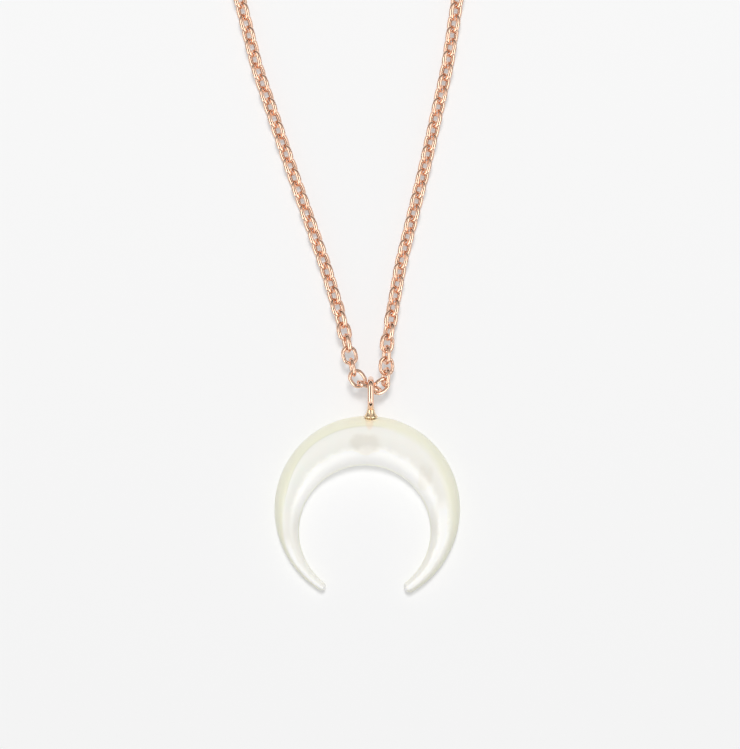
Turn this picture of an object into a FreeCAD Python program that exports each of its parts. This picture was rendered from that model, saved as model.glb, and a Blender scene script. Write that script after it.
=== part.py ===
import FreeCAD, Part

import math
import os

# Pendant necklace, laid out flat and fastened, in millimetres.
# X runs across the pendant, Y from the pendant towards the clasp, Z up from the table at Z = 0.
# The origin is on the crescent's flat back, in the middle of its widest part, under the bail.

Vector = FreeCAD.Vector
Rotation = FreeCAD.Rotation
Placement = FreeCAD.Placement
ACROSS = Vector(1, 0, 0)
AWAY = Vector(0, 1, 0)
UP = Vector(0, 0, 1)

# Crescent: a disc with a round hole that leaves it open at the bottom
band_width = 6.65
hole_radius = 8.83
hole_shift = -0.35
horn_width = 1.02
horn_stretch = 0.5
crown_height = 3.6
horn_angle = 145.5
horn_taper = 0.5
crown_power = 2.3
tip_round = 0.6
tip_shares = (0.95, 0.8, 0.6, 0.3)
horn_sections = 10
crown_steps = 12

# Bail: a wire eye on a flared cup, whose peg is cemented into the crescent
bail_shift = 0.46
bail_tilt = 10.0
bail_length = 6.05
bail_wire = 0.86
eye_side_gap = 0.1
eye_corner_radius = 0.75
seat_setback = 0.8
cup_height = 2.0
cup_foot_width = 1.9
cup_neck_width = 0.92
seat_gap = 0.05
peg_width = 0.7
peg_depth = 2.5
cement_wall = 0.2

# Cable chain
link_length = 2.78
link_width = 2.3
link_wire = 0.52
link_play = 0.05
laid_pitch = 1.66
link_lean = 45.0
rest_gap = 0.01
untwist_length = 12.0
settle_length = 12.0
left_first_lean = 5.0
right_first_lean = 30.0
lean_settling = 2.0
left_slack = 0.11
right_slack = 0.16

# The longer link that carries the bail
centre_link_length = 3.55
centre_link_slant = 20.0
centre_link_shift = 0.04
bail_gap = 0.05

# Route of the two strands, from the middle of the centre link, and the round far end
left_route = [(-2.06, 1.6), (-3.5, 8.0), (-5.9, 16.1), (-10.6, 29.5), (-15.1, 42.9)]
right_route = [(2.2, 0.5), (2.35, 2.7), (2.3, 5.3), (4.2, 16.1), (7.5, 29.5), (10.5, 42.9)]
left_spread = 14.0
right_spread = 8.5
loop_radius = 35.5
arc_step = 2.0

# Runs of links between the lines where the laid-out loop folds across both strands
near_run_links = 3
near_folds = 3
far_folds = 11

# Lobster clasp and its two rings
clasp_ring_width = 3.0
clasp_ring_wire = 0.5
end_ring_width = 4.4
end_ring_wire = 0.7
ring_gap = 0.06
clasp_height = 1.65
tail_hole = 1.3
tail_wire = 0.8
clasp_neck_width = 1.8
clasp_body_width = 4.8
clasp_body_reach = 3.2
clasp_thickness = 2.2
clasp_rounding = 0.4
hook_wire = 1.0
hook_radius = 2.2
hook_reach = 5.6
hook_end_angle = 72.0
hook_trim_angle = 20.0
gate_gap = 0.08
slot_height = 1.2
slot_floor = -0.3
pivot_x = 2.7
pivot_y = 0.9
pin_width = 0.6
pin_gap = 0.03
lever_wire = 0.9
lever_hub_width = 1.7
lever_hub_height = 0.6
lever_elbow_x = 4.2
lever_side_gap = 0.05
tab_width = 0.7
tab_reach = 1.1
spring_wire = 0.14
spring_gap = 0.05
spring_opening = 70.0
spring_leg = 0.7


def save(name, shape):
    shape.exportStep(os.path.join("parts", name + ".step"))


def bent_wire(edges, width):
    """A round wire along a closed or open path of lines and arcs."""
    path = Part.Wire(edges)
    first = edges[0]
    start = first.valueAt(first.FirstParameter)
    along = first.tangentAt(first.FirstParameter)
    section = Part.Face(Part.Wire(Part.makeCircle(width / 2, start, along)))
    return path.makePipe(section)


def arc(centre, radius, first_angle, last_angle, first_axis, second_axis):
    """An arc round a centre, with angles in degrees from the first axis to the second."""
    points = []
    for share in (0, 0.5, 1):
        angle = math.radians(first_angle + share * (last_angle - first_angle))
        points.append(centre + first_axis * (radius * math.cos(angle)) + second_axis * (radius * math.sin(angle)))
    return Part.Arc(*points).toShape()


def line(first, last):
    return Part.LineSegment(first, last).toShape()


def box(low, high):
    return Part.makeBox(high.x - low.x, high.y - low.y, high.z - low.z, low)


# ---- crescent ----

def disc_size():
    """Radius of the disc whose edge runs over the band's top and past the hole by the horns' width."""
    reach = hole_radius + horn_width
    side = reach * math.sin(math.radians(horn_angle))
    drop = band_width + hole_radius - reach * math.cos(math.radians(horn_angle))
    return (side ** 2 + drop ** 2) / (2 * drop)


disc_radius = disc_size()
disc_centre = AWAY * (band_width / 2 - disc_radius)
hole_centre = ACROSS * hole_shift - AWAY * (band_width / 2 + hole_radius)


def ray_to_circle(angle, centre, radius):
    """Distance from the hole's centre to a circle, along a ray at an angle from +Y towards +X."""
    ray = ACROSS * math.sin(angle) + AWAY * math.cos(angle)
    offset = hole_centre - centre
    along = offset.dot(ray)
    return math.sqrt(along ** 2 + radius ** 2 - offset.dot(offset)) - along


def outer_reach(angle):
    """Distance from the hole's centre to the crescent's outer edge, which widens below the disc's centre."""
    reach = ray_to_circle(angle, disc_centre, disc_radius)
    if hole_centre.y + reach * math.cos(angle) >= disc_centre.y:
        return reach
    side_centre = disc_centre - ACROSS * math.copysign(horn_stretch, angle)
    return ray_to_circle(angle, side_centre, disc_radius + horn_stretch)


def crescent_section(angle, fullness):
    """A domed section across the crescent, carried below the back so that the back can be cut flat."""
    ray = ACROSS * math.sin(angle) + AWAY * math.cos(angle)
    half_width = (outer_reach(angle) - hole_radius) / 2
    middle = hole_centre + ray * (hole_radius + half_width)
    half_width = half_width * fullness
    height = crown_height * (2 * half_width / band_width) ** horn_taper
    crown = []
    for step in range(crown_steps + 1):
        turn = math.pi * step / crown_steps
        across = math.copysign(abs(math.cos(turn)) ** (2 / crown_power), math.cos(turn))
        rise = math.sin(turn) ** (2 / crown_power) if 0 < step < crown_steps else 0
        crown.append(middle + ray * (half_width * across) + UP * (height * rise))
    curve = Part.BSplineCurve()
    curve.interpolate(crown)
    drop = UP * (-crown_height)
    outer, inner = crown[0], crown[-1]
    return Part.Wire([curve.toShape(), line(inner, inner + drop), line(inner + drop, outer + drop),
                      line(outer + drop, outer)])


def crescent_blank():
    """The crescent lofted from tip to tip, with round tips and a flat back at Z = 0."""
    tip_turn = math.degrees(tip_round / hole_radius)
    full_angle = horn_angle - tip_turn
    stations = [(full_angle + tip_turn * share, math.sqrt(1 - share ** 2)) for share in tip_shares]
    stations += [(full_angle * step / horn_sections, 1) for step in range(horn_sections, 0, -1)]
    left = [crescent_section(-math.radians(angle), fullness) for angle, fullness in stations]
    right = [crescent_section(math.radians(angle), fullness) for angle, fullness in reversed(stations)]
    solid = Part.makeLoft(left + [crescent_section(0, 1)] + right, True)
    reach = 2 * disc_radius
    back = box(Vector(-reach, -2 * reach, -2 * crown_height), Vector(reach, reach, 0))
    return solid.cut(back)


# ---- bail, built along its own +Y from the seat in the crescent's top edge ----

seat_height = crown_height / 2
seat = Vector(bail_shift, band_width / 2 - seat_setback, seat_height)
bail_place = Placement(seat, Rotation(ACROSS, bail_tilt))
eye_half_width = link_width / 2 + eye_side_gap + bail_wire / 2
eye_top = bail_length - bail_wire / 2


def along_bail(first, last, width):
    return Part.makeCylinder(width / 2, last - first, AWAY * first, AWAY)


def bail_eye():
    """The closed wire eye: round at its foot, square-shouldered at its top."""
    foot = AWAY * (cup_height + eye_half_width)
    shoulder = eye_top - eye_corner_radius
    inset = eye_half_width - eye_corner_radius
    edges = [
        line(foot + UP * eye_half_width, AWAY * shoulder + UP * eye_half_width),
        arc(AWAY * shoulder + UP * inset, eye_corner_radius, 0, 90, UP, AWAY),
        line(AWAY * eye_top + UP * inset, AWAY * eye_top - UP * inset),
        arc(AWAY * shoulder - UP * inset, eye_corner_radius, 90, 180, UP, AWAY),
        line(AWAY * shoulder - UP * eye_half_width, foot - UP * eye_half_width),
        arc(foot, eye_half_width, 180, 360, UP, AWAY),
    ]
    return bent_wire(edges, bail_wire)


def bail_cup(eye):
    cup = Part.makeCone(cup_foot_width / 2, cup_neck_width / 2, cup_height, Vector(0, 0, 0), AWAY)
    return cup.cut(eye)


def build_pendant():
    """The bail's pieces and the crescent, cut to take the cup and the cemented peg."""
    eye = bail_eye()
    hole_width = peg_width + 2 * cement_wall
    cement = along_bail(-peg_depth, 0, hole_width).cut(along_bail(-peg_depth, 0, peg_width))
    pieces = {
        "bail_eye": eye,
        "bail_cup": bail_cup(eye),
        "bail_peg": along_bail(-peg_depth, 0, peg_width),
        "peg_cement": cement,
    }
    for shape in pieces.values():
        shape.Placement = bail_place
    pocket = along_bail(0, bail_length, cup_foot_width + 2 * seat_gap)
    bore = along_bail(-peg_depth, 0, hole_width)
    for cutter in (pocket, bore):
        cutter.Placement = bail_place
    pieces["crescent"] = crescent_blank().cut(pocket).cut(bore)
    return pieces


# ---- links ----

def oval_ring(length, width, wire):
    """A closed oval of round wire, long along X and flat in XY."""
    bend = (width - wire) / 2
    right = ACROSS * ((length - width) / 2)
    left = -right
    sides = [line(left - AWAY * bend, right - AWAY * bend), line(right + AWAY * bend, left + AWAY * bend)]
    ends = [arc(right, bend, -90, 90, ACROSS, AWAY), arc(left, bend, 90, 270, ACROSS, AWAY)]
    return bent_wire([sides[0], ends[0], sides[1], ends[1]], wire)


def link_placement(first, last, lean):
    """Puts a link between two contact points, turned about the line between them."""
    along = (last - first).normalize()
    side = UP.cross(along).normalize()
    top = along.cross(side)
    lean = math.radians(lean)
    width_way = side * math.cos(lean) + top * math.sin(lean)
    return Placement((first + last) / 2, Rotation(along, width_way, along.cross(width_way), "XYZ"))


link = oval_ring(link_length, link_width, link_wire)
longest_pitch = link_length - 2 * link_wire - link_play
link_hook = (link_length - link_wire - longest_pitch) / 2
leaning_height = (link_width - link_wire) / 2 * math.sin(math.radians(link_lean)) + link_wire / 2 + rest_gap

# The centre link stands on edge inside the eye, just clear of the eye's top bar
slant = math.radians(centre_link_slant)
slant_way = Vector(math.cos(slant), -math.sin(slant), 0)
clear_way = Vector(-math.sin(slant), -math.cos(slant), 0)
centre_clearance = (bail_wire + link_wire) / 2 + bail_gap
centre_local = AWAY * eye_top + clear_way * centre_clearance + slant_way * centre_link_shift
centre_reach = slant_way * ((centre_link_length - 2 * link_wire - link_play) / 2)
centre_link_frame = Rotation(slant_way, UP, slant_way.cross(UP), "XYZ")
centre_middle = bail_place.multVec(centre_local)
left_start = bail_place.multVec(centre_local - centre_reach)
right_start = bail_place.multVec(centre_local + centre_reach)


def centre_link():
    shape = oval_ring(centre_link_length, link_width, link_wire)
    shape.Placement = bail_place.multiply(Placement(centre_local, centre_link_frame))
    return shape


# ---- clasp and rings: where they stand along X, from the middle of the last left link's end wire ----

def hang_in(ring_width, ring_wire, other_wire, play):
    """How far a wire's centre stands from the centre of an upright ring that it hangs in."""
    room = ring_width / 2 - ring_wire - other_wire / 2 - play
    drop = ring_width / 2 - clasp_height
    return math.sqrt(room ** 2 - drop ** 2)


tail_radius = (tail_hole + tail_wire) / 2
hook_front = hook_reach + hook_radius
clasp_ring_at = hang_in(clasp_ring_width, clasp_ring_wire, link_wire, ring_gap)
tail_at = clasp_ring_at + hang_in(clasp_ring_width, clasp_ring_wire, tail_wire, ring_gap) + tail_radius
end_ring_at = tail_at + hook_front + hang_in(end_ring_width, end_ring_wire, hook_wire, ring_gap)
fastening_length = end_ring_at + hang_in(end_ring_width, end_ring_wire, link_wire, ring_gap)


# ---- route of the strands ----

def heading(degrees):
    """The direction that leaves +Y by an angle towards +X."""
    return ACROSS * math.sin(math.radians(degrees)) + AWAY * math.cos(math.radians(degrees))


def loop_centre():
    """Centre of the far end's circle, which both strands run into at a tangent."""
    left_end = flat(centre_middle) + Vector(*left_route[-1], 0)
    right_end = flat(centre_middle) + Vector(*right_route[-1], 0)
    left_normal, right_normal = heading(90 - left_spread), heading(right_spread - 90)
    a, b = left_normal.x, left_normal.y
    c, d = right_normal.x, right_normal.y
    e = loop_radius + left_end.dot(left_normal)
    f = loop_radius + right_end.dot(right_normal)
    return Vector((e * d - b * f) / (a * d - b * c), (a * f - e * c) / (a * d - b * c), 0)


def flat(point):
    return Vector(point.x, point.y, 0)


def strand_route(start, slack, points, spread, side):
    """Plan points of one strand: from the centre link, by the chosen points, round to the fastening."""
    route = [flat(centre_middle) + Vector(*point, 0) for point in points]
    first_way = (route[0] - flat(start)).normalize()
    route.insert(0, flat(start) - first_way * slack)
    centre = loop_centre()
    end_angle = math.degrees(math.asin((fastening_length / 2 + link_hook) / loop_radius))
    arc_length = math.radians(90 + spread - end_angle) * loop_radius
    steps = max(2, round(arc_length / arc_step))
    for step in range(steps + 1):
        angle = 90 + spread + (end_angle - 90 - spread) * step / steps
        route.append(centre + heading(side * angle) * loop_radius)
    return route


left_line = strand_route(left_start, left_slack, left_route, left_spread, -1)
right_line = strand_route(right_start, right_slack, right_route, right_spread, 1)


def point_along(route, distance):
    for first, last in zip(route, route[1:]):
        span = (last - first).Length
        if distance <= span:
            return first + (last - first) * (distance / span)
        distance -= span
    return route[-1]


def route_length(route):
    return sum((last - first).Length for first, last in zip(route, route[1:]))


def length_to_row(route, row):
    """Distance along a route to where it first reaches a value of Y."""
    distance = 0
    for first, last in zip(route, route[1:]):
        if first.y < row <= last.y:
            return distance + (last - first).Length * (row - first.y) / (last.y - first.y)
        distance += (last - first).Length
    return distance


def fold_marks():
    """Distances along the left route of its start, the fold lines and its end."""
    marks = [near_run_links * laid_pitch * number for number in range(near_folds + 1)]
    run = (route_length(left_line) - marks[-1]) / (far_folds + 1)
    return marks + [marks[near_folds] + run * number for number in range(1, far_folds + 2)]


def right_marks(marks):
    """The same rows on the right route, so that each fold line is straight across."""
    rows = [point_along(left_line, mark).y for mark in marks[1:-1]]
    return [0] + [length_to_row(right_line, row) for row in rows] + [route_length(right_line)]


def settled_height(row):
    """Height of the chain's middle at a value of Y: it comes down from the eye to lie on the table."""
    return leaning_height + (centre_middle.z - leaning_height) * max(0, 1 - (row - centre_middle.y) / settle_length)


def strand_runs(route, start, first_lean, marks):
    """Links of a strand, run by run: flat beside the centre link and the rings, leaning elsewhere."""
    total = marks[-1]
    counts = [math.ceil(round((last - first) / longest_pitch, 3)) for first, last in zip(marks, marks[1:])]
    end_twist = 0 if sum(counts) % 2 else 90
    start_offset = start.z - settled_height(start.y)

    def contact(distance):
        point = point_along(route, distance)
        height = settled_height(point.y) + start_offset * max(0, 1 - distance / marks[1])
        height += (clasp_height - leaning_height) * max(0, 1 - (total - distance) / untwist_length)
        return point + UP * height

    runs = []
    number = 0
    for first, last, count in zip(marks, marks[1:], counts):
        links = []
        pitch = (last - first) / count
        for step in range(count):
            begin = first + pitch * step
            middle = begin + pitch / 2
            twist = link_lean * min(1, middle / untwist_length) + first_lean / lean_settling ** number
            twist += (end_twist - link_lean) * max(0, 1 - (total - middle) / untwist_length)
            piece = link.copy()
            piece.Placement = link_placement(contact(begin), contact(begin + pitch), 90 * number + twist)
            links.append(piece)
            number += 1
        runs.append(links)
    return runs


# ---- fastening ----

def upright_ring(width, wire, x):
    shape = Part.makeTorus((width - wire) / 2, wire / 2)
    shape.Placement = Placement(ACROSS * x + UP * (width / 2 - clasp_height), Rotation(ACROSS, 90))
    return shape


def plate(first_x, first_radius, last_x, last_radius, thickness):
    """A plate bounded by two circles on the X axis and the lines that touch both."""
    lean = math.acos((first_radius - last_radius) / (last_x - first_x))
    corners = []
    for x, radius in ((first_x, first_radius), (last_x, last_radius)):
        corners.append(ACROSS * (x + radius * math.cos(lean)) + AWAY * (radius * math.sin(lean)))
    lower = [Vector(corner.x, -corner.y, 0) for corner in corners]
    outline = Part.Wire([
        line(corners[0], corners[1]),
        Part.Arc(corners[1], ACROSS * (last_x + last_radius), lower[1]).toShape(),
        line(lower[1], lower[0]),
        Part.Arc(lower[0], ACROSS * (first_x - first_radius), corners[0]).toShape(),
    ])
    outline.translate(UP * (-thickness / 2))
    return Part.Face(outline).extrude(UP * thickness)


def upright_cylinder(width, low, high, x=0, y=0):
    return Part.makeCylinder(width / 2, high - low, Vector(x, y, low))


# The hook's end and the lever's end follow one circle round the pin, so that the lever passes the hook
hook_centre = ACROSS * hook_reach
hook_end = hook_centre + heading(90 - hook_end_angle) * hook_radius
pivot = Vector(pivot_x, pivot_y, 0)
gate_radius = (hook_end - pivot).Length


def clasp_body():
    """Tail loop, slotted body and round hook, flat in XY with the tail loop at the local origin."""
    body = plate(tail_radius, clasp_neck_width / 2, clasp_body_reach, clasp_body_width / 2, clasp_thickness)
    body = body.makeFillet(clasp_rounding, body.Edges)
    window = upright_cylinder(2 * hook_radius - hook_wire, -clasp_thickness, clasp_thickness, hook_reach)
    tail_bore = upright_cylinder(tail_hole, -clasp_thickness, clasp_thickness)
    body = body.cut(window).cut(tail_bore)
    tail = Part.makeTorus(tail_radius, tail_wire / 2)
    hook = bent_wire([line(Vector(clasp_body_reach, -hook_radius, 0), hook_centre - AWAY * hook_radius),
                      arc(hook_centre, hook_radius, -90, hook_end_angle + hook_trim_angle, ACROSS, AWAY)],
                     hook_wire)
    lever_way = upright_cylinder(2 * gate_radius, -hook_wire, hook_wire, pivot_x, pivot_y)
    hook = hook.cut(lever_way.common(box(pivot - UP * hook_wire, hook_centre + Vector(1, 1, 1) * gate_radius)))
    slot = box(Vector(pivot_x - lever_hub_width, slot_floor, -slot_height / 2),
               Vector(hook_reach, clasp_body_width, slot_height / 2))
    pin_bore = upright_cylinder(pin_width, -clasp_thickness, clasp_thickness, pivot_x, pivot_y)
    return body.fuse(tail).fuse(hook).cut(slot).cut(pin_bore)


def rod(first, last, width):
    return Part.makeCylinder(width / 2, (last - first).Length, first, last - first)


def bent_path(first, corner, last, radius):
    """Two straight runs joined by a tangent arc."""
    inward = (corner - first).normalize()
    outward = (last - corner).normalize()
    half_turn = inward.getAngle(outward) / 2
    setback = radius * math.tan(half_turn)
    begin, end = corner - inward * setback, corner + outward * setback
    middle = corner + (outward - inward).normalize() * (radius / math.cos(half_turn) - radius)
    return [line(first, begin), Part.Arc(begin, middle, end).toShape(), line(end, last)]


def clasp_lever():
    """Hub on the pin, an arm that closes the hook, and a thumb tab."""
    hub_low = lever_side_gap - slot_height / 2
    hub_high = hub_low + lever_hub_height
    elbow = Vector(lever_elbow_x, hook_end.y, 0)
    start = pivot + (elbow - pivot).normalize() * (lever_hub_width / 2 - lever_wire / 4)
    hub = upright_cylinder(lever_hub_width, hub_low, hub_high, pivot_x, pivot_y)
    arm = bent_wire(bent_path(start, elbow, hook_end + ACROSS * lever_wire, lever_wire), lever_wire)
    arm = arm.common(upright_cylinder(2 * (gate_radius - gate_gap), -lever_wire, lever_wire, pivot_x, pivot_y))
    tab = rod(elbow, elbow + AWAY * tab_reach, tab_width)
    bore_width = pin_width + 2 * pin_gap
    bore = upright_cylinder(bore_width, -clasp_thickness, clasp_thickness, pivot_x, pivot_y)
    return hub.fuse(arm).fuse(tab).cut(bore)


def clasp_spring():
    """An open turn of wire round the pin, in the slot above the lever's hub, with a leg towards the tail."""
    radius = pin_width / 2 + spring_gap + spring_wire / 2
    level = lever_side_gap - slot_height / 2 + lever_hub_height + spring_gap + spring_wire / 2
    centre = pivot + UP * level
    top = centre + AWAY * radius
    turn = arc(centre, radius, spring_opening - 270, 90, ACROSS, AWAY)
    return bent_wire([turn, line(top, top - ACROSS * spring_leg)], spring_wire)


def build_fastening():
    pieces = {
        "clasp_ring": upright_ring(clasp_ring_width, clasp_ring_wire, clasp_ring_at),
        "end_ring": upright_ring(end_ring_width, end_ring_wire, end_ring_at),
    }
    clasp = {
        "clasp_body": clasp_body(),
        "clasp_lever": clasp_lever(),
        "clasp_pin": upright_cylinder(pin_width, -clasp_thickness / 2, clasp_thickness / 2, pivot_x, pivot_y),
        "clasp_spring": clasp_spring(),
    }
    for shape in clasp.values():
        shape.translate(ACROSS * tail_at)
    pieces.update(clasp)
    start = left_line[-1] + ACROSS * link_hook + UP * clasp_height
    for shape in pieces.values():
        shape.translate(start)
    return pieces


def build_chain():
    """One group of links for each run of each strand, and one for the links beside the centre link."""
    marks = fold_marks()
    strands = {
        "left": strand_runs(left_line, left_start, left_first_lean, marks),
        "right": strand_runs(right_line, right_start, right_first_lean, right_marks(marks)),
    }
    pieces = {"chain_centre": Part.makeCompound(strands["left"][0] + strands["right"][0])}
    for side, runs in strands.items():
        for number, links in enumerate(runs[1:], 1):
            pieces[f"chain_{side}_{number:02d}"] = Part.makeCompound(links)
    return pieces


def build():
    pieces = build_pendant()
    pieces["centre_link"] = centre_link()
    pieces.update(build_chain())
    pieces.update(build_fastening())
    return pieces


os.makedirs("parts", exist_ok=True)
for name, shape in build().items():
    save(name, shape)
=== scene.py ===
import math

import bpy
import numpy as np
from mathutils import Matrix, Vector


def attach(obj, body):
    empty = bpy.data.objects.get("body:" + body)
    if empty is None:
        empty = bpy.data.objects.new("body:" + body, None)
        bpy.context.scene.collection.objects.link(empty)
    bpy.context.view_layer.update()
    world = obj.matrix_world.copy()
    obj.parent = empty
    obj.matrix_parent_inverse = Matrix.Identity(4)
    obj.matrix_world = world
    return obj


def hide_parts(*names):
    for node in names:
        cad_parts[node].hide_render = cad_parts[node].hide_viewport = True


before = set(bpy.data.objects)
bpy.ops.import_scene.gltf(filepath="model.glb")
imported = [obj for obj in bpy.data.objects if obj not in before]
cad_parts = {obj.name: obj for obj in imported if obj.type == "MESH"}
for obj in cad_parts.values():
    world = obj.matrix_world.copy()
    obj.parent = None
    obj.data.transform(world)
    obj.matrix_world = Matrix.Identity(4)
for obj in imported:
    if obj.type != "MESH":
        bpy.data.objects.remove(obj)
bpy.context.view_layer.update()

# Pendant necklace: a mother-of-pearl crescent on a rose-gold cable chain, in metres.
# The origin is on the crescent's flat back, under the bail; +Y runs to the clasp and +Z up
# from the table.

# ---- sizes ----

# Crescent
DISC_RADIUS = 0.01246
BAND_WIDTH = 0.00665
HOLE_RADIUS = 0.00883
HOLE_SHIFT = -0.00035
HORN_STRETCH = 0.0005
CROWN_HEIGHT = 0.0036
HORN_ANGLE = math.radians(145.46)
HORN_TAPER = 0.5
CROWN_POWER = 2.3
TIP_ROUND = 0.0006
CRESCENT_STEPS_ALONG = 320
CRESCENT_STEPS_ACROSS = 56

# Bail, along its own +Y from its seat in the crescent's top edge
BAIL_SEAT = Vector((0.00046, 0.002525, 0.0018))
BAIL_TILT = math.radians(10)
BAIL_LENGTH = 0.00605
BAIL_WIRE = 0.000855
EYE_HALF_WIDTH = 0.00168
EYE_CORNER_RADIUS = 0.00075
EYE_CORNER_STEPS = 10
EYE_FOOT_STEPS = 28
EYE_SIDES = 20
CUP_HEIGHT = 0.002
CUP_SIDES = 48
CUP_LUMP = 0.08
# Height and radius up the cup, in millimetres
CUP_PROFILE = ((0.5, 0.3), (0.54, 0.55), (0.6, 0.78), (0.68, 0.92), (0.78, 0.93), (0.92, 0.8),
               (1.1, 0.67), (1.35, 0.56), (1.7, 0.49), (2.0, 0.46))

# Links and rings
LINK_LENGTH = 0.00278
LINK_WIDTH = 0.0023
LINK_WIRE = 0.00052
# How much thicker a link's side wires are, the share of it that moves them inwards, and where
# across the link it starts
LINK_SWELL = 0.28
SWELL_SHIFT = 0.72
SWELL_START = 0.45
# Links beside a larger ring, which thicker wires would touch
EVEN_WIRE_NODES = ("chain_centre", "chain_right_14")
CENTRE_LINK_LENGTH = 0.00355
CLASP_RING_WIDTH = 0.003
CLASP_RING_WIRE = 0.0005
END_RING_WIDTH = 0.0044
END_RING_WIRE = 0.0007
LINK_STEPS = 16
LINK_SIDES = 6
RING_STEPS = 48
RING_SIDES = 16

# Camera
VIEW_CENTRE = Vector((0.00036, 0.00888, 0))
VIEW_WIDTH = 0.09946
CAMERA_HEIGHT = 0.6
SENSOR_WIDTH = 36
CAMERA_NEAR = 0.01
CAMERA_FAR = 10

# Table and light
TABLE_SIZE = 3.0
TABLE_DROP = 0.00002
TABLE_GLOW = 0.4
LAMP_PLACE = (0, 0.62, 1.22)
LAMP_SIZE = 0.38
LAMP_POWER = 12.9
EVEN_LIGHT = 0.4
FRONT_LIGHT = 0.9
BOX_LIGHT = 2.2
SLIT_DARKNESS = 0.86

# Edges that bend by more than this stay crisp
SHARP_CORNER = math.radians(75)
# Points closer than this become one
MERGE_DISTANCE = 0.000001
MILLIMETRE = 0.001


# ---- nodes as arithmetic ----

class Value:
    """An output socket that takes part in Python arithmetic; each step adds a Math node."""

    def __init__(self, nodes, socket):
        self.nodes = nodes
        self.socket = socket

    def math(self, operation, *operands):
        return self.nodes.value("ShaderNodeMath", {"operation": operation},
                                dict(enumerate(operands)))

    def __add__(self, other):
        return self.math("ADD", self, other)

    def __radd__(self, other):
        return self.math("ADD", other, self)

    def __sub__(self, other):
        return self.math("SUBTRACT", self, other)

    def __rsub__(self, other):
        return self.math("SUBTRACT", other, self)

    def __mul__(self, other):
        return self.math("MULTIPLY", self, other)

    def __rmul__(self, other):
        return self.math("MULTIPLY", other, self)

    def __truediv__(self, other):
        return self.math("DIVIDE", self, other)

    def __rtruediv__(self, other):
        return self.math("DIVIDE", other, self)

    def __pow__(self, other):
        return self.math("POWER", self, other)

    def __neg__(self):
        return self.math("MULTIPLY", self, -1)

    def __abs__(self):
        return self.math("ABSOLUTE", self)

    def root(self):
        return self.math("SQRT", self)

    def sine(self):
        return self.math("SINE", self)

    def cosine(self):
        return self.math("COSINE", self)

    def sign(self):
        return self.math("SIGN", self)

    def above(self, other):
        return self.math("GREATER_THAN", self, other)

    def at_least(self, other):
        return self.math("MAXIMUM", self, other)

    def at_most(self, other):
        return self.math("MINIMUM", self, other)

    def smooth(self, low, high, first=0.0, last=1.0):
        """Rises smoothly from first to last as this value goes from low to high."""
        return self.nodes.value("ShaderNodeMapRange", {"interpolation_type": "SMOOTHSTEP"},
                                {"Value": self, "From Min": low, "From Max": high,
                                 "To Min": first, "To Max": last})


class Nodes:
    """Adds nodes to one tree."""

    def __init__(self, tree):
        self.tree = tree

    def node(self, kind, settings=None, inputs=None):
        """A node of a kind, with its settings first and then its sockets' values or links."""
        made = self.tree.nodes.new(kind)
        for name, setting in (settings or {}).items():
            setattr(made, name, setting)
        for name, entry in (inputs or {}).items():
            socket = made.inputs[name]
            if isinstance(entry, Value):
                self.tree.links.new(entry.socket, socket)
            else:
                socket.default_value = entry
        return made

    def value(self, kind, settings=None, inputs=None, output=0):
        """One output of a new node."""
        return Value(self, self.node(kind, settings, inputs).outputs[output])

    def vector(self, x, y, z):
        """A vector from three numbers."""
        return self.value("ShaderNodeCombineXYZ", inputs={"X": x, "Y": y, "Z": z})

    def split(self, vector):
        """A vector's three numbers."""
        parts = self.node("ShaderNodeSeparateXYZ", inputs={"Vector": vector})
        return [Value(self, socket) for socket in parts.outputs]

    def mix(self, share, first, second):
        """A colour between two others."""
        return self.value("ShaderNodeMix", {"data_type": "RGBA"},
                          {0: share, 6: first, 7: second}, 2)

    def noise(self, place, scale, detail, roughness=0.5, distortion=0.0):
        """Soft noise from 0 to 1, finer as the scale rises."""
        return self.value("ShaderNodeTexNoise", inputs={
            "Vector": place, "Scale": scale, "Detail": detail,
            "Roughness": roughness, "Distortion": distortion})


def colour(red, green, blue):
    """A linear colour from the 0 to 255 values that a screen shows."""
    return tuple((((part / 255) + 0.055) / 1.055) ** 2.4 for part in (red, green, blue)) + (1.0,)


def dimmed(shade, share):
    """A linear colour at a share of its brightness."""
    return tuple(part * share for part in shade[:3]) + (1.0,)


def new_material(name):
    """A material and its empty tree."""
    material = bpy.data.materials.new(name)
    material.use_nodes = True
    material.node_tree.nodes.clear()
    return material, Nodes(material.node_tree)


def finish_material(nodes, shader):
    """Joins a shader to the material's output."""
    nodes.node("ShaderNodeOutputMaterial", inputs={"Surface": shader})


# ---- materials ----

BLACK = (0, 0, 0, 1)
WHITE = (1, 1, 1, 1)
PALE = colour(247, 247, 247)

SHELL_PINK = colour(248, 243, 238)
SHELL_GREEN = colour(239, 244, 235)
SHELL_CREAM = colour(245, 245, 237)
SHELL_DARKER_CREAM = colour(240, 240, 231)
SHELL_HIGHLIGHT_WHITE = colour(255, 254, 250)
SHELL_CLOUD = colour(231, 227, 217)
SHELL_RIM_TONE_AND_SHADE = colour(244, 243, 221)
SHELL_SHADE_LINE = colour(226, 226, 206)
GOLD_REFLECTION_ON_SHELL = colour(246, 214, 178)
SHELL_IOR = 1.53
# Middle x and y, half width and half height of the soft patches on the shell: two grey clouds and
# the painted reflection of the bail's foot
TOP_CLOUD = (-0.0003, -0.0003, 0.0021, 0.0016)
SIDE_CLOUD = (0.0077, -0.0048, 0.0011, 0.002)
BAIL_FOOT_REFLECTION = (0.0003, 0.0026, 0.0006, 0.0012)

ROSE_GOLD = colour(250, 209, 183)
BRAZED_GOLD = colour(250, 222, 184)
STEEL_DARK, STEEL_LIGHT = colour(178, 178, 180), colour(205, 205, 206)
CEMENT_DARK, CEMENT_LIGHT = colour(226, 220, 203), colour(238, 234, 222)


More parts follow.
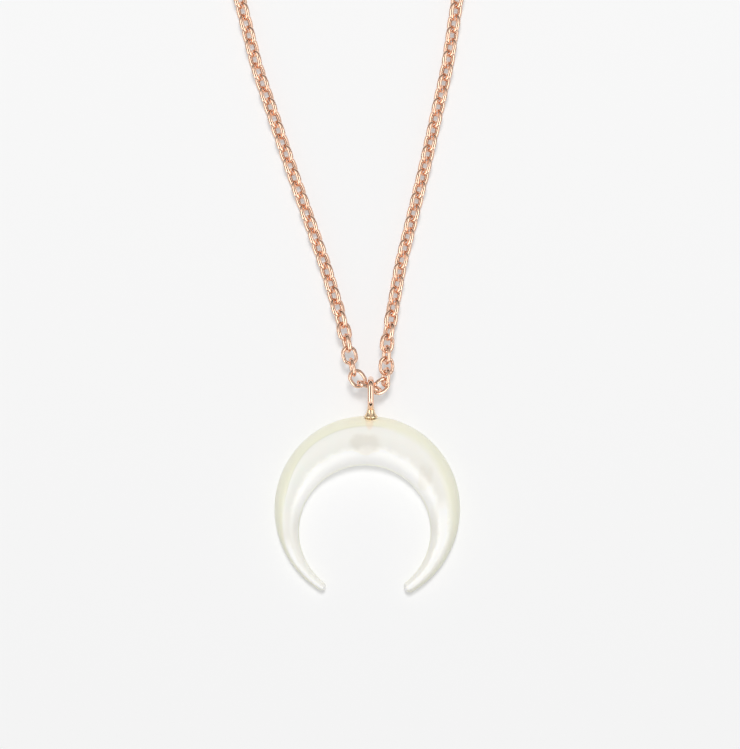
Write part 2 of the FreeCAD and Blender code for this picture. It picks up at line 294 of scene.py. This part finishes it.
def mother_of_pearl():
    """Polished shell: cream white with grey clouds, a greener thin edge that is partly painted
    shade, and painted highlights on the inner slope and horns, which also glow faintly.

    The attribute across runs from -1 at the crescent's inner edge to 1 at its outer edge.
    """
    material, nodes = new_material("mother_of_pearl")
    place = nodes.value("ShaderNodeTexCoord", output="Object")
    across = nodes.value("ShaderNodeAttribute", {"attribute_name": "across"}, output="Fac")
    x, y, _ = nodes.split(place)
    drift = nodes.noise(place, 140, 2)
    wander = nodes.noise(place, 420, 4) - 0.5

    # The body, with a faint play of pink and green
    play = (nodes.noise(place, 260, 3, 0.55, 1.2) * 5.0 + drift * 3.0).sine()
    pearl = nodes.mix(play.smooth(-1, 1), SHELL_PINK, SHELL_GREEN)
    body = nodes.mix(drift.smooth(0.35, 0.65), SHELL_CREAM, SHELL_DARKER_CREAM)
    shell = nodes.mix(0.4, body, pearl)

    # Painted highlight: white along the inner slope of the arch and down the middle of the horns
    ripple = across + wander * 0.3 + (nodes.noise(place, 1100, 3) - 0.5) * 0.3
    painted_inner_highlight = ripple.smooth(-0.5, -0.1, 1, 0) * y.smooth(-0.012, -0.006)
    crest_middle = x.smooth(-0.008, 0.006, 0.3, -0.08)
    crest_width = abs(ripple - crest_middle).smooth(0.2, 0.5, 1, 0)
    painted_crest_highlight = crest_width * (y - x * 0.25).smooth(-0.0125, -0.0095, 1, 0)
    shell = nodes.mix(painted_inner_highlight.at_least(painted_crest_highlight) * 0.85, shell, SHELL_HIGHLIGHT_WHITE)

    # A grey cloud under the bail and a smaller one on the right
    shift = wander * 0.0022
    top_cloud = cloud(x + shift, y - shift, *TOP_CLOUD)
    side_cloud = cloud(x - shift, y - shift, *SIDE_CLOUD)
    shell = nodes.mix(top_cloud.at_least(side_cloud * 0.7) * 0.8, shell, SHELL_CLOUD)

    # The thin outer rim, crisp on the left and soft on the right, and the inner edge: partly the
    # shell's greener edge tone, partly painted shade where the overhead reflection ends
    rim = 0.6 - abs(y + 0.008).smooth(0, 0.008, 1, 0) * 0.28
    softness = x.smooth(0.0, 0.006, 0.02, 0.3) + y.smooth(-0.01, -0.003, 0.2, 0)
    outer = (across - rim + softness * 0.5) / softness
    inner = across.smooth(-0.96, -0.88, 1, 0)
    edge = outer.at_least(0).at_most(1).at_least(inner * 0.8)
    shell = nodes.mix(edge * 0.9, shell, SHELL_RIM_TONE_AND_SHADE)

    # Painted shade: a darker line where the rim starts on the left
    on_the_left = x.smooth(0, 0.003, 1, 0) * y.smooth(-0.01, -0.006)
    painted_shade_line = abs(across - rim).smooth(0.0, 0.07, 1, 0) * on_the_left
    shell = nodes.mix(painted_shade_line * 0.45, shell, SHELL_SHADE_LINE)

    # Painted reflection of the gold cup on the shell at the bail's foot
    foot = cloud(x, y, *BAIL_FOOT_REFLECTION)
    shell = nodes.mix(foot * 0.35, shell, GOLD_REFLECTION_ON_SHELL)

    shader = nodes.value("ShaderNodeBsdfPrincipled", inputs={
        "Base Color": shell,
        "Roughness": drift.smooth(0.3, 0.7, 0.42, 0.54),
        "IOR": SHELL_IOR,
        "Coat Weight": 0.4,
        "Coat Roughness": 0.34,
        "Coat IOR": SHELL_IOR,
        "Subsurface Weight": 0.25,
        "Subsurface Radius": (0.0012, 0.0011, 0.0009),
        "Subsurface Scale": 1.0,
        # Painted glow: the painted highlights on the inner slope and horns give off faint light of
        # their own
        "Emission Color": nodes.mix(painted_inner_highlight.at_least(painted_crest_highlight * 0.4), BLACK, WHITE),
        "Emission Strength": 0.13,
    })
    finish_material(nodes, shader)
    return material


def cloud(x, y, middle_x, middle_y, half_width, half_height):
    """A soft-edged oval patch, 1 in its middle."""
    reach = (((x - middle_x) / half_width) ** 2 + ((y - middle_y) / half_height) ** 2).root()
    return reach.smooth(0.6, 1.15, 1, 0)


def polished_gold(name, shade, low_roughness, high_roughness):
    """Polished metal with faint stains in its colour and faint rubbing in its gloss."""
    material, nodes = new_material(name)
    place = nodes.value("ShaderNodeTexCoord", output="Object")
    stain = nodes.noise(place, 900, 3)
    rubbing = nodes.noise(place, 2600, 4, 0.6)
    metal = nodes.mix(stain.smooth(0.3, 0.7), shade, dimmed(shade, 0.9))
    bump = nodes.value("ShaderNodeBump", inputs={
        "Strength": 0.06, "Distance": 0.00002, "Height": rubbing}, output="Normal")
    shader = nodes.value("ShaderNodeBsdfPrincipled", inputs={
        "Base Color": metal,
        "Metallic": 1.0,
        "Roughness": rubbing.smooth(0.3, 0.7, low_roughness, high_roughness),
        "Normal": bump,
    })
    finish_material(nodes, shader)
    return material


def spring_steel():
    """Drawn wire: grey steel with fine lengthwise variation."""
    material, nodes = new_material("spring_steel")
    place = nodes.value("ShaderNodeTexCoord", output="Object")
    draw = nodes.noise(place, 9000, 2)
    shader = nodes.value("ShaderNodeBsdfPrincipled", inputs={
        "Base Color": nodes.mix(draw, STEEL_DARK, STEEL_LIGHT),
        "Metallic": 1.0,
        "Roughness": draw.smooth(0.3, 0.7, 0.22, 0.35),
    })
    finish_material(nodes, shader)
    return material


def set_cement():
    """Set jeweller's cement: milky and slightly uneven."""
    material, nodes = new_material("set_cement")
    place = nodes.value("ShaderNodeTexCoord", output="Object")
    lumps = nodes.noise(place, 3000, 3)
    shader = nodes.value("ShaderNodeBsdfPrincipled", inputs={
        "Base Color": nodes.mix(lumps, CEMENT_DARK, CEMENT_LIGHT),
        "Roughness": lumps.smooth(0.3, 0.7, 0.3, 0.5),
    })
    finish_material(nodes, shader)
    return material


def light_path(nodes):
    """Whether a ray comes from the camera, and whether it comes from a glossy surface."""
    path = nodes.node("ShaderNodeLightPath")
    return [Value(nodes, path.outputs[output]) for output in ("Is Camera Ray", "Is Glossy Ray")]


def table_top():
    """Plain pale table: it shows its own pale tone and keeps a soft share of each shadow."""
    material, nodes = new_material("table_top")
    camera, glossy = light_path(nodes)
    glow = nodes.value("ShaderNodeEmission", inputs={"Color": PALE, "Strength": 1.0})
    matt = nodes.value("ShaderNodeBsdfDiffuse", inputs={"Color": PALE})
    share = camera.at_least(glossy) * TABLE_GLOW
    finish_material(nodes, nodes.value("ShaderNodeMixShader", inputs={0: share, 1: matt, 2: glow}))
    return material


# ---- geometry trees ----

def new_tree(name, inputs):
    """A geometry tree with a geometry input, the named inputs and one geometry output."""
    tree = bpy.data.node_groups.new(name, "GeometryNodeTree")
    tree.interface.new_socket("Geometry", in_out="INPUT", socket_type="NodeSocketGeometry")
    for label, kind in inputs.items():
        tree.interface.new_socket(label, in_out="INPUT", socket_type=kind)
    tree.interface.new_socket("Geometry", in_out="OUTPUT", socket_type="NodeSocketGeometry")
    nodes = Nodes(tree)
    start = nodes.node("NodeGroupInput")
    given = {label: Value(nodes, start.outputs[label]) for label in ["Geometry", *inputs]}
    return nodes, given


def end_tree(nodes, geometry, material):
    """Realizes the instances, shades them smooth and gives them their material."""
    real = nodes.value("GeometryNodeRealizeInstances", inputs={"Geometry": geometry})
    smooth = nodes.value("GeometryNodeSetShadeSmooth", inputs={"Geometry": real})
    corner = nodes.value("GeometryNodeInputMeshEdgeAngle").above(SHARP_CORNER)
    smooth = nodes.value("GeometryNodeSetShadeSmooth", {"domain": "EDGE"},
                         {"Geometry": smooth, "Selection": corner, "Shade Smooth": False})
    painted = nodes.value("GeometryNodeSetMaterial", inputs={
        "Geometry": smooth, "Material": material})
    nodes.node("NodeGroupOutput", inputs={"Geometry": painted})
    return nodes.tree


def wire_round(nodes, path, wire, sides, scale=1):
    """A round wire along a curve."""
    section = nodes.value("GeometryNodeCurvePrimitiveCircle", {"mode": "RADIUS"},
                          {"Resolution": sides, "Radius": wire * 0.5})
    return nodes.value("GeometryNodeCurveToMesh", inputs={
        "Curve": path, "Profile Curve": section, "Scale": scale})


def oval_tree():
    """One oval ring of round wire at each point, turned by its attribute.

    A circle in the XY plane is pulled apart along X, and swell thickens its sides inwards.
    """
    nodes, given = new_tree("oval_rings", {
        "Length": "NodeSocketFloat", "Width": "NodeSocketFloat", "Wire": "NodeSocketFloat",
        "Swell": "NodeSocketFloat", "Steps": "NodeSocketInt", "Sides": "NodeSocketInt",
        "Material": "NodeSocketMaterial"})
    bend = (given["Width"] - given["Wire"]) * 0.5
    straight = (given["Length"] - given["Width"]) * 0.5
    ring = nodes.value("GeometryNodeCurvePrimitiveCircle", {"mode": "RADIUS"},
                       {"Resolution": given["Steps"], "Radius": bend})
    x, y, _ = nodes.split(nodes.value("GeometryNodeInputPosition"))
    thicker = given["Swell"] * abs(y / bend).smooth(SWELL_START, 1)
    ring = nodes.value("GeometryNodeSetCurveRadius", inputs={"Curve": ring, "Radius": thicker + 1})
    stretch = (x / bend * 4).at_most(1).at_least(-1) * straight
    inwards = y / bend * thicker * given["Wire"] * -SWELL_SHIFT
    oval = nodes.value("GeometryNodeSetPosition", inputs={
        "Geometry": ring, "Offset": nodes.vector(stretch, inwards, 0)})
    scale = nodes.value("GeometryNodeInputRadius")
    wire = wire_round(nodes, oval, given["Wire"], given["Sides"], scale)
    turn = nodes.value("GeometryNodeInputNamedAttribute", {"data_type": "QUATERNION"},
                       {"Name": "turn"})
    rings = nodes.value("GeometryNodeInstanceOnPoints", inputs={
        "Points": given["Geometry"], "Instance": wire, "Rotation": turn})
    return end_tree(nodes, rings, given["Material"])


def wire_tree():
    """A round wire along the edges that come in."""
    nodes, given = new_tree("bent_wire", {
        "Wire": "NodeSocketFloat", "Sides": "NodeSocketInt", "Material": "NodeSocketMaterial"})
    path = nodes.value("GeometryNodeMeshToCurve", inputs={"Mesh": given["Geometry"]})
    wire = wire_round(nodes, path, given["Wire"], given["Sides"])
    return end_tree(nodes, wire, given["Material"])


def crescent_tree():
    """The domed crescent: each point of a grid goes to its angle and its place across the band."""
    sizes = ["Disc Radius", "Horn Stretch", "Hole Radius", "Hole Shift", "Band Width",
             "Crown Height", "Horn Angle", "Horn Taper", "Crown Power", "Tip Round"]
    labels = {label: "NodeSocketFloat" for label in sizes}
    labels.update({"Steps Along": "NodeSocketInt", "Steps Across": "NodeSocketInt",
                   "Material": "NodeSocketMaterial"})
    nodes, given = new_tree("crescent", labels)
    disc, stretch, hole, shift, band, crown, horn, taper, power, tip = (
        given[label] for label in sizes)

    def to_circle(sine, cosine, offset_x, offset_y, radius):
        """How far the circle lies from the hole's centre, along a ray."""
        along = sine * offset_x + cosine * offset_y
        beyond = radius * radius - offset_x * offset_x - offset_y * offset_y
        return (along * along + beyond).root() - along

    def layer(steps_across, domed):
        """The front dome, or the flat back with its points straight under the dome's edge."""
        grid = nodes.node("GeometryNodeMeshGrid", inputs={
            "Size X": 2, "Size Y": 2,
            "Vertices X": given["Steps Along"], "Vertices Y": steps_across})
        u, v, _ = nodes.split(nodes.value("GeometryNodeInputPosition"))
        # The angle round the hole's centre, with closer steps at the horns
        angle = (u * (math.pi / 2)).sine() * horn
        sine, cosine = angle.sine(), angle.cosine()
        # The outer edge: the disc, and below its middle a wider circle on each side
        hole_y = -(band * 0.5 + hole)
        disc_y = band * 0.5 - disc
        reach = to_circle(sine, cosine, shift, hole_y - disc_y, disc)
        wide = to_circle(sine, cosine, shift + stretch * u.sign(), hole_y - disc_y, disc + stretch)
        low = disc_y.above(hole_y + reach * cosine)
        reach = reach + (wide - reach) * low
        # The rounded tips
        tip_turn = tip / hole
        share = ((abs(angle) - (horn - tip_turn)) / tip_turn).at_least(0).at_most(1)
        fullness = (1 - share * share).at_least(0).root()
        half = (reach - hole) * 0.5
        middle = hole + half
        half = half * fullness
        # The place across the band, and the dome's height there
        if domed:
            turn = (1 - v) * (math.pi / 2)
            across = abs(turn.cosine()) ** (2 / power) * turn.cosine().sign()
            rise = turn.sine().at_least(0) ** (2 / power) * crown * (half * 2 / band) ** taper
        else:
            across, rise = v, 0.0
        out = middle + half * across
        marked = nodes.value(
            "GeometryNodeStoreNamedAttribute", {"data_type": "FLOAT", "domain": "POINT"},
            {"Geometry": Value(nodes, grid.outputs["Mesh"]), "Name": "across", "Value": across})
        return nodes.value("GeometryNodeSetPosition", inputs={
            "Geometry": marked,
            "Position": nodes.vector(shift + sine * out, hole_y + cosine * out, rise)})

    dome = layer(given["Steps Across"], True)
    back = nodes.value("GeometryNodeFlipFaces", inputs={"Mesh": layer(2, False)})
    both = nodes.node("GeometryNodeJoinGeometry")
    for part in (dome, back):
        nodes.tree.links.new(part.socket, both.inputs[0])
    whole = nodes.value("GeometryNodeMergeByDistance", inputs={
        "Geometry": Value(nodes, both.outputs[0]), "Distance": MERGE_DISTANCE})
    return end_tree(nodes, whole, given["Material"])


def placed(name, data):
    """A new object in the scene, at the origin."""
    made = bpy.data.objects.new(name, data)
    bpy.context.scene.collection.objects.link(made)
    return made


def made_by(tree, name, mesh, inputs):
    """Runs a geometry tree on a mesh with its named inputs and keeps the result as a mesh."""
    piece = placed(name, mesh)
    modifier = piece.modifiers.new(name, "NODES")
    modifier.node_group = tree
    for item in tree.interface.items_tree:
        if item.in_out == "INPUT" and item.name in inputs:
            modifier[item.identifier] = inputs[item.name]
    piece.update_tag()
    depsgraph = bpy.context.evaluated_depsgraph_get()
    result = bpy.data.meshes.new_from_object(piece.evaluated_get(depsgraph), depsgraph=depsgraph)
    piece.modifiers.clear()
    piece.data = result
    return piece


# ---- the crescent ----

def make_crescent(material):
    """The shell, as one closed solid."""
    start = bpy.data.meshes.new("pearl_crescent")
    crescent = made_by(crescent_tree(), "pearl_crescent", start, {
        "Disc Radius": DISC_RADIUS, "Horn Stretch": HORN_STRETCH, "Hole Radius": HOLE_RADIUS,
        "Hole Shift": HOLE_SHIFT, "Band Width": BAND_WIDTH, "Crown Height": CROWN_HEIGHT,
        "Horn Angle": HORN_ANGLE, "Horn Taper": HORN_TAPER, "Crown Power": CROWN_POWER,
        "Tip Round": TIP_ROUND, "Steps Along": CRESCENT_STEPS_ALONG,
        "Steps Across": CRESCENT_STEPS_ACROSS, "Material": material})
    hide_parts("crescent")
    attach(crescent, "pendant")


# ---- links and rings ----

def ring_frames(node):
    """Middle and turn of each closed ring in a node: its length along X, its width along Y.

    Corners at one place are joined, faces that share corners are one ring, and a ring's main
    axes, weighed by area, are its length and its width.
    """
    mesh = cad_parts[node].data
    corners = np.zeros(len(mesh.vertices) * 3)
    mesh.vertices.foreach_get("co", corners)
    corners, places = np.unique(np.round(corners.reshape(-1, 3), 7), axis=0, return_inverse=True)
    faces = np.zeros(len(mesh.loops), int)
    mesh.loops.foreach_get("vertex_index", faces)
    faces = places.reshape(-1)[faces].reshape(-1, 3)
    # Each corner takes the lowest number that its ring's faces pass on
    group = np.arange(len(corners))
    settled = False
    while not settled:
        lowest = group[faces].min(axis=1)
        before = group.copy()
        for corner in range(3):
            np.minimum.at(group, faces[:, corner], lowest)
        group = group[group]
        settled = bool((group == before).all())
    frames = []
    for label in np.unique(group[faces[:, 0]]):
        ring = corners[faces[group[faces[:, 0]] == label]]
        sides = ring[:, 1] - ring[:, 0], ring[:, 2] - ring[:, 0]
        area = np.linalg.norm(np.cross(*sides), axis=1)
        centres = ring.mean(axis=1)
        middle = (centres * area[:, None]).sum(axis=0) / area.sum()
        spread = centres - middle
        _, axes = np.linalg.eigh((spread * area[:, None]).T @ spread)
        length_way, width_way = Vector(axes[:, 2]), Vector(axes[:, 1])
        turn = Matrix((length_way, width_way, length_way.cross(width_way))).transposed()
        frames.append((Vector(middle), turn.to_quaternion()))
    return frames


def points_with_turns(name, frames):
    """A mesh of loose points that hold their turns in an attribute."""
    mesh = bpy.data.meshes.new(name)
    mesh.from_pydata([middle for middle, _ in frames], [], [])
    turns = mesh.attributes.new("turn", "QUATERNION", "POINT")
    turns.data.foreach_set("value", [part for _, turn in frames for part in turn])
    return mesh


def make_rings(tree, node, body, length, width, wire, swell, steps, sides, material):
    """Every ring of one node, as one mesh."""
    name = node + "_wire"
    rings = made_by(tree, name, points_with_turns(name, ring_frames(node)), {
        "Length": length, "Width": width, "Wire": wire, "Swell": swell,
        "Steps": steps, "Sides": sides, "Material": material})
    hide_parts(node)
    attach(rings, body)


def make_chain(tree, material):
    """The strands and the three larger rings, whose wire is even."""
    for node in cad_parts:
        if node.startswith("chain_"):
            swell = 0 if node in EVEN_WIRE_NODES else LINK_SWELL
            make_rings(tree, node, node, LINK_LENGTH, LINK_WIDTH, LINK_WIRE, swell,
                       LINK_STEPS, LINK_SIDES, material)
    for node, length, width, wire in (
            ("centre_link", CENTRE_LINK_LENGTH, LINK_WIDTH, LINK_WIRE),
            ("clasp_ring", CLASP_RING_WIDTH, CLASP_RING_WIDTH, CLASP_RING_WIRE),
            ("end_ring", END_RING_WIDTH, END_RING_WIDTH, END_RING_WIRE)):
        make_rings(tree, node, node, length, width, wire, 0, RING_STEPS, RING_SIDES, material)


# ---- the bail ----

BAIL_PLACE = Matrix.Translation(BAIL_SEAT) @ Matrix.Rotation(BAIL_TILT, 4, "X")


def eye_path():
    """Middle line of the bail's eye in its own YZ plane: a round foot and two rounded shoulders."""
    points = []

    def sweep(y, z, radius, first, last, steps):
        for step in range(steps + 1):
            angle = math.radians(first + (last - first) * step / steps)
            points.append((0, y + radius * math.sin(angle), z + radius * math.cos(angle)))

    shoulder = BAIL_LENGTH - BAIL_WIRE / 2 - EYE_CORNER_RADIUS
    inset = EYE_HALF_WIDTH - EYE_CORNER_RADIUS
    sweep(shoulder, inset, EYE_CORNER_RADIUS, 0, 90, EYE_CORNER_STEPS)
    sweep(shoulder, -inset, EYE_CORNER_RADIUS, 90, 180, EYE_CORNER_STEPS)
    sweep(CUP_HEIGHT + EYE_HALF_WIDTH, 0, EYE_HALF_WIDTH, 180, 360, EYE_FOOT_STEPS)
    return points


def make_bail_eye(material):
    """The bail's closed eye, swept along its path."""
    points = eye_path()
    mesh = bpy.data.meshes.new("bail_eye_path")
    edges = [(number, (number + 1) % len(points)) for number in range(len(points))]
    mesh.from_pydata([BAIL_PLACE @ Vector(point) for point in points], edges, [])
    eye = made_by(wire_tree(), "bail_eye_wire", mesh, {
        "Wire": BAIL_WIRE, "Sides": EYE_SIDES, "Material": material})
    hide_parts("bail_eye")
    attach(eye, "pendant")


def turned_mesh(name, profile, sides, lump, place):
    """A closed round solid on the local Y axis, slightly lumpy below a height of 1 mm."""
    vertices = []
    faces = []
    for height, radius in profile:
        for side in range(sides):
            angle = 2 * math.pi * side / sides
            wave = 1 + math.sin(5 * angle + 9 * height)
            reach = radius * MILLIMETRE * (1 - lump * wave * max(0, 1 - height))
            vertices.append(place @ Vector((
                reach * math.cos(angle), height * MILLIMETRE, -reach * math.sin(angle))))
    for row in range(len(profile) - 1):
        for side in range(sides):
            after = (side + 1) % sides
            faces.append((row * sides + side, row * sides + after,
                          (row + 1) * sides + after, (row + 1) * sides + side))
    faces.append(tuple(reversed(range(sides))))
    faces.append(tuple(range((len(profile) - 1) * sides, len(profile) * sides)))
    mesh = bpy.data.meshes.new(name)
    mesh.from_pydata(vertices, [], faces)
    mesh.shade_smooth()
    return mesh


def make_bail_cup(material):
    """The brazed cup under the eye."""
    mesh = turned_mesh("bail_cup_flare", CUP_PROFILE, CUP_SIDES, CUP_LUMP, BAIL_PLACE)
    cup = placed("bail_cup_flare", mesh)
    cup.data.materials.append(material)
    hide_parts("bail_cup")
    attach(cup, "pendant")


# ---- the plain nodes ----

def paint(node, material):
    """Gives a node its finish and leaves its shape alone."""
    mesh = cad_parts[node].data
    mesh.materials.clear()
    mesh.materials.append(material)


# ---- table, light and camera ----

def make_table():
    """A plain table, a hair under the necklace."""
    half = TABLE_SIZE / 2
    corners = [(-half, -half, 0), (half, -half, 0), (half, half, 0), (-half, half, 0)]
    mesh = bpy.data.meshes.new("table")
    mesh.from_pydata(corners, [], [(0, 1, 2, 3)])
    mesh.materials.append(table_top())
    table = placed("table", mesh)
    table.location.z = -TABLE_DROP


def make_world():
    """Soft light, stronger from the front.

    Metal reflects a pale tent with a bright box on each side and a dark slit between them.
    """
    world = bpy.data.worlds.new("light_tent")
    world.use_nodes = True
    world.node_tree.nodes.clear()
    bpy.context.scene.world = world
    nodes = Nodes(world.node_tree)
    x, y, z = nodes.split(nodes.value("ShaderNodeTexCoord", output="Generated"))
    # The tent opens well above the table and is dimmer beyond the clasp
    tent = z.smooth(0.28, 0.42, 0.03, 1.0) * y.smooth(0.4, 0.7, 1, 0.5)
    boxes = abs(abs(x) - 0.64).smooth(0.14, 0.18, 1, 0) * abs(y + 0.2).smooth(0.45, 0.55, 1, 0)
    slit = abs(x).smooth(0.36, 0.43, 1, 0) * abs(y + 0.1).smooth(0.35, 0.45, 1, 0)
    seen = (tent + boxes * BOX_LIGHT) * (1 - slit * SLIT_DARKNESS) * z.above(0)
    camera, glossy = light_path(nodes)
    even = EVEN_LIGHT * (1 - y * FRONT_LIGHT)
    strength = even * (1 - glossy.at_least(camera)) + glossy * seen + camera
    light = nodes.value("ShaderNodeBackground", inputs={"Color": PALE, "Strength": strength})
    nodes.node("ShaderNodeOutputWorld", inputs={"Surface": light})


def make_lamp():
    """The key light, high beyond the clasp and left out of reflections."""
    data = bpy.data.lights.new("key_lamp", "AREA")
    data.shape = "SQUARE"
    data.size = LAMP_SIZE
    data.energy = LAMP_POWER
    lamp = placed("key_lamp", data)
    lamp.location = LAMP_PLACE
    lamp.rotation_euler = (VIEW_CENTRE - Vector(LAMP_PLACE)).to_track_quat("-Z", "Y").to_euler()
    lamp.visible_glossy = False


def make_camera():
    """A long lens straight above the pendant."""
    data = bpy.data.cameras.new("camera")
    data.sensor_fit = "HORIZONTAL"
    data.sensor_width = SENSOR_WIDTH
    data.lens = SENSOR_WIDTH * CAMERA_HEIGHT / VIEW_WIDTH
    data.clip_start = CAMERA_NEAR
    data.clip_end = CAMERA_FAR
    camera = placed("camera", data)
    camera.location = VIEW_CENTRE + Vector((0, 0, CAMERA_HEIGHT))
    bpy.context.scene.camera = camera


# ---- the necklace ----

bpy.context.scene.view_settings.view_transform = "Standard"
make_camera()
make_world()
make_table()
make_lamp()

rose_gold = polished_gold("rose_gold", ROSE_GOLD, 0.06, 0.14)
brazed_gold = polished_gold("brazed_gold", BRAZED_GOLD, 0.24, 0.36)
cement = set_cement()
steel = spring_steel()

make_crescent(mother_of_pearl())
make_bail_eye(rose_gold)
make_bail_cup(brazed_gold)
make_chain(oval_tree(), rose_gold)
for node_name in ("bail_peg", "clasp_body", "clasp_lever", "clasp_pin"):
    paint(node_name, rose_gold)
paint("peg_cement", cement)
paint("clasp_spring", steel)
